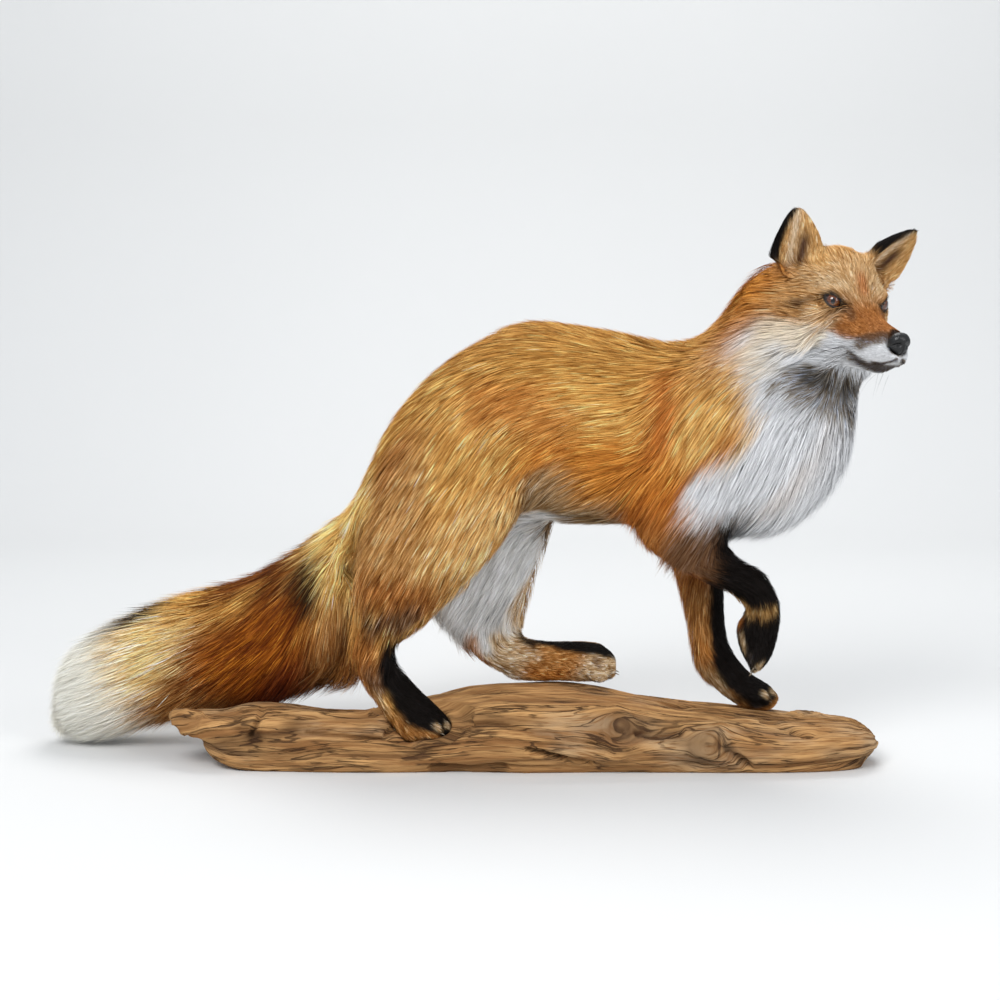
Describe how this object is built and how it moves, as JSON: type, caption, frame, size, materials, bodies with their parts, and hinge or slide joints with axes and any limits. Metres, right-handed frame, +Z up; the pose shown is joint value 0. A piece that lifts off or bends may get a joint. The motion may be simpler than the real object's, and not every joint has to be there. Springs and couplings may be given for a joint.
{
  "type": "taxidermy red fox",
  "caption": "Mounted red fox in a walking pose with one foreleg lifted and its head turned, standing on a piece of weathered driftwood.",
  "frame": {"origin": "on the flat underside of the driftwood base, below the middle of the fox's trunk", "axes": "+X the way the fox's body faces, +Y to its left, +Z up"},
  "size_m": [0.9188, 0.2448, 0.5876],
  "materials": {
    "red_coat": "long red-orange fur",
    "white_coat": "long white fur",
    "tail_coat": "long rufous fur with black tips",
    "dark_coat": "short black-brown fur",
    "eye_glass": "dark amber glass eye",
    "nose_leather": "moist black pebbled nose leather",
    "driftwood": "weathered driftwood"
  },
  "bodies": {
    "root": {"head": "red_coat", "neck": "white_coat", "chest": "red_coat", "barrel": "red_coat", "rump": "red_coat", "tail_root": "tail_coat", "tail_middle": "tail_coat", "tail_tip": "white_coat", "thigh_right": "red_coat", "thigh_left": "white_coat", "hock_right": "dark_coat", "hock_left": "red_coat", "hind_paw_right": "dark_coat", "hind_paw_left": "dark_coat", "forearm_right": "dark_coat", "forearm_left": "dark_coat", "forepaw_right": "dark_coat", "forepaw_left": "dark_coat", "ear_right": "dark_coat", "ear_left": "dark_coat", "eye_right": "eye_glass", "eye_left": "eye_glass", "nose": "nose_leather", "log_base": "driftwood"}
  },
  "joints": []
}
